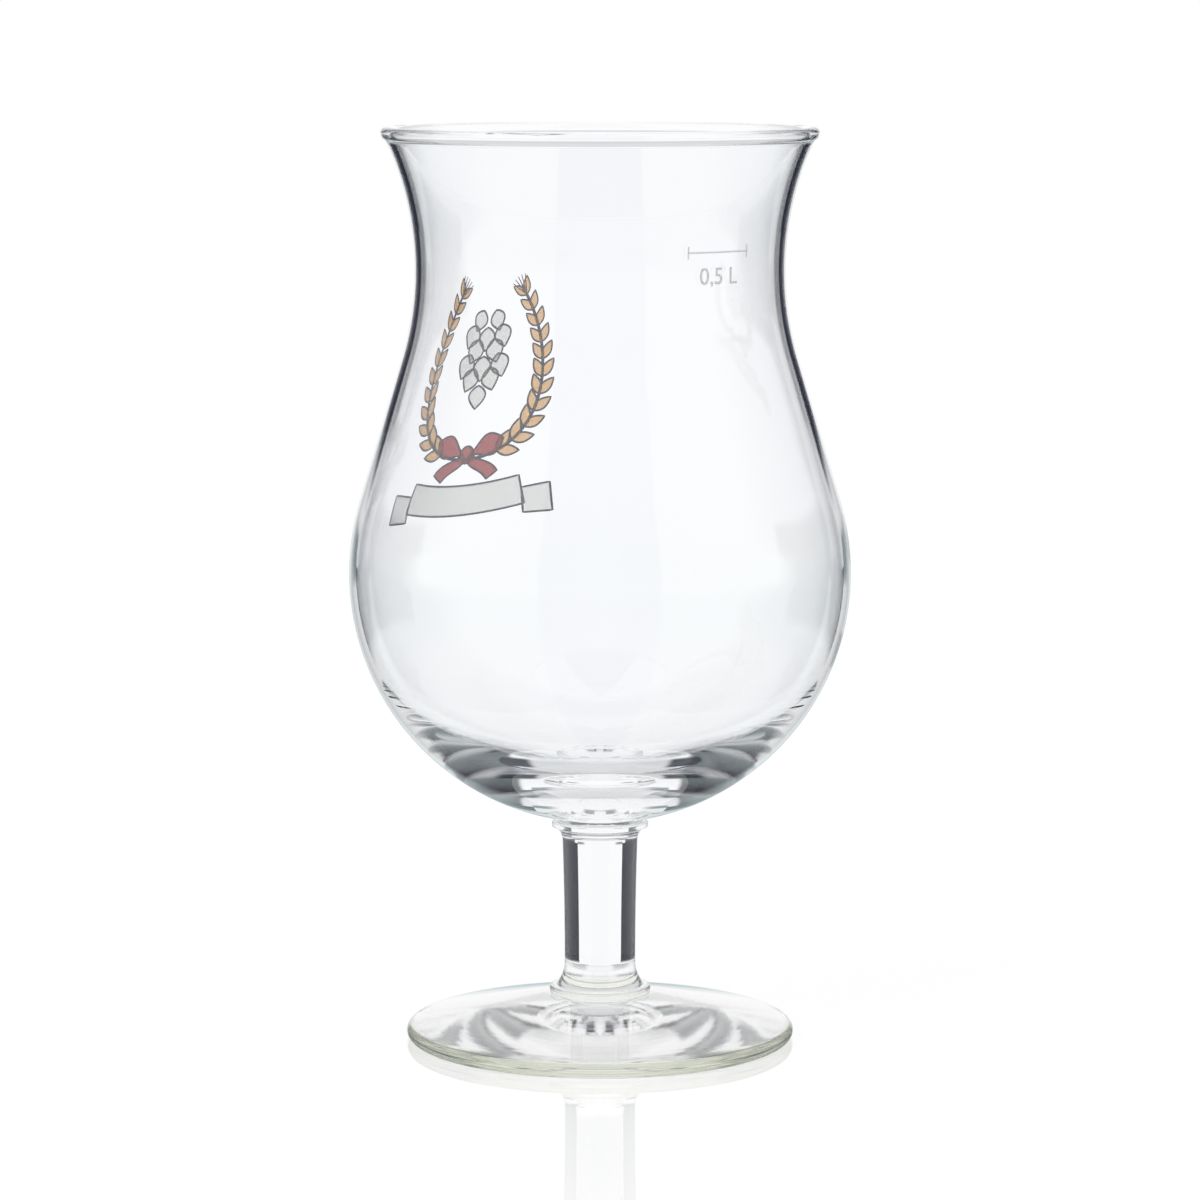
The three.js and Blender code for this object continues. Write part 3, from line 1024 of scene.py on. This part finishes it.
def makeFlags(spec):
    material, tree = bareMaterial("flagCloth")
    shade = addNode(tree, "ShaderNodeAttribute", attribute_name="shade").outputs
    glow = addNode(tree, "ShaderNodeEmission", {"Color": shade["Color"]})
    clear = addNode(tree, "ShaderNodeBsdfTransparent")
    cover = mixShaders(tree, shade["Alpha"], clear, glow)
    addNode(tree, "ShaderNodeOutputMaterial", {0: cover.outputs[0]})

    verts, faces, shades = [], [], []

    def onDome(turn, rise):
        rise = math.radians(rise)
        flat = spec["radius"] * math.cos(rise)
        return flat * math.sin(turn), flat * math.cos(turn), spec["radius"] * math.sin(rise)

    def onDrum(turn, height):
        radius = spec["near"]["radius"]
        return radius * math.sin(turn), radius * math.cos(turn), height * mm

    def addCard(turns, rows, rowStep, placeAt, shadeAt):
        columnCount = round(abs(turns[1] - turns[0]) / spec["cell"])
        rowCount = round((rows[1] - rows[0]) / rowStep)
        first = len(verts)
        for row in np.linspace(*rows, rowCount + 1):
            for turn in np.linspace(*turns, columnCount + 1):
                verts.append(placeAt(math.radians(turn), row))
                shades.extend(shadeAt(abs(turn), row))
        for row in range(rowCount):
            for column in range(columnCount):
                a = first + row * (columnCount + 1) + column
                faces.append((a, a + 1, a + columnCount + 2, a + columnCount + 1))

    near, cell = spec["near"], spec["cell"]
    for hand in (1, -1):
        for side in spec["sides"]:
            turns = (hand * side["turn"], hand * spec["outerTurn"])
            addCard(turns, side["rows"], cell, onDome, partial(sideShade, side=side, spec=spec))
        for card in spec["low"]:
            turns = [hand * turn for turn in card["turns"]]
            addCard(turns, card["rows"], cell, onDome, partial(cardShade, card=card))
        turns = [hand * turn for turn in near["turns"]]
        addCard(turns, near["rows"], near["cell"], onDrum, partial(cardShade, card=near))
    turns = (-spec["ceilingTurn"], spec["ceilingTurn"])
    addCard(turns, spec["ceilingRows"], cell, onDome, partial(ceilingShade, spec=spec))
    cards = stageMesh("flags", verts, faces, material)
    cards.data.attributes.new("shade", "FLOAT_COLOR", "POINT").data.foreach_set("color", shades)
    cards.visible_camera = cards.visible_diffuse = cards.visible_shadow = cards.visible_glossy = False


makeFlags(flags)


# surround: white, and for reflections dimmer at the sides, below and in the gap behind the camera.
# The stops run from the front to the back and from straight down to straight up.
surround = {
    "fill": 0.8, "reach": (-1.0, 1.0),
    "stops": [(0.0, (0.3, 0.36, 0.48)), (0.055, (0.3, 0.36, 0.48)), (0.06, white), (0.38, white),
              (0.6, (0.9, 0.91, 0.94)), (0.82, (0.74, 0.76, 0.81)), (0.895, (0.06, 0.065, 0.09)),
              (0.972, (0.05, 0.055, 0.08)), (0.986, white)],
    "lowStops": [(0.3, (0.5, 0.58, 0.59)), (0.43, (0.5, 0.6, 0.61)), (0.49, white)],
}


def colourRamp(tree, value, stops):
    ramp = addNode(tree, "ShaderNodeValToRGB", {0: value})
    elements = ramp.color_ramp.elements
    while len(elements) < len(stops):
        elements.new(1.0)
    for element, (place, colour) in zip(elements, stops):
        element.position = place
        element.color = opaque(colour)
    return ramp.outputs[0]


def makeWorld(spec):
    world = bpy.data.worlds.new("studio")
    world.use_nodes = True
    tree = world.node_tree
    tree.nodes.clear()
    light = addNode(tree, "ShaderNodeLightPath").outputs

    def backdrop(colour, strength):
        return addNode(tree, "ShaderNodeBackground", {"Color": colour, "Strength": strength})

    direction = addNode(tree, "ShaderNodeTexCoord").outputs["Generated"]
    heading = vectorMaths(tree, "NORMALIZE", levelled(tree, direction)).outputs[0]
    around = mapRange(tree, axesOf(tree, heading)["Y"], spec["reach"])
    above = mapRange(tree, axesOf(tree, direction)["Z"], spec["reach"])
    ramps = colourRamp(tree, around, spec["stops"]), colourRamp(tree, above, spec["lowStops"])
    mirrored = backdrop(vectorMaths(tree, "MULTIPLY", *ramps).outputs[0], 1.0)
    lit = mixShaders(tree, light["Is Glossy Ray"], backdrop(opaque(white), spec["fill"]), mirrored)
    straight = maths(tree, "MAXIMUM", light["Is Camera Ray"], light["Is Transmission Ray"])
    seen = mixShaders(tree, straight, lit, backdrop(opaque(white), 1.0))
    addNode(tree, "ShaderNodeOutputWorld", {0: seen.outputs[0]})
    scene.world = world


makeWorld(surround)


lamps = [
    {"name": "keySoftbox", "place": (-0.9, -0.7, 1.1), "size": 0.9, "watts": 14.0},
    {"name": "fillSoftbox", "place": (0.9, -0.6, 0.9), "size": 0.9, "watts": 9.0},
]


def makeLamp(spec):
    data = bpy.data.lights.new(spec["name"], "AREA")
    data.energy = spec["watts"]
    data.size = spec["size"]
    lamp = bpy.data.objects.new(spec["name"], data)
    lamp.location = spec["place"]
    aim = -lamp.location
    lamp.rotation_mode = "QUATERNION"
    lamp.rotation_quaternion = aim.to_track_quat("-Z", "Y")
    lamp.visible_glossy = lamp.visible_transmission = lamp.visible_camera = False
    scene.collection.objects.link(lamp)


for spec in lamps:
    makeLamp(spec)
print("stage and lamps set")
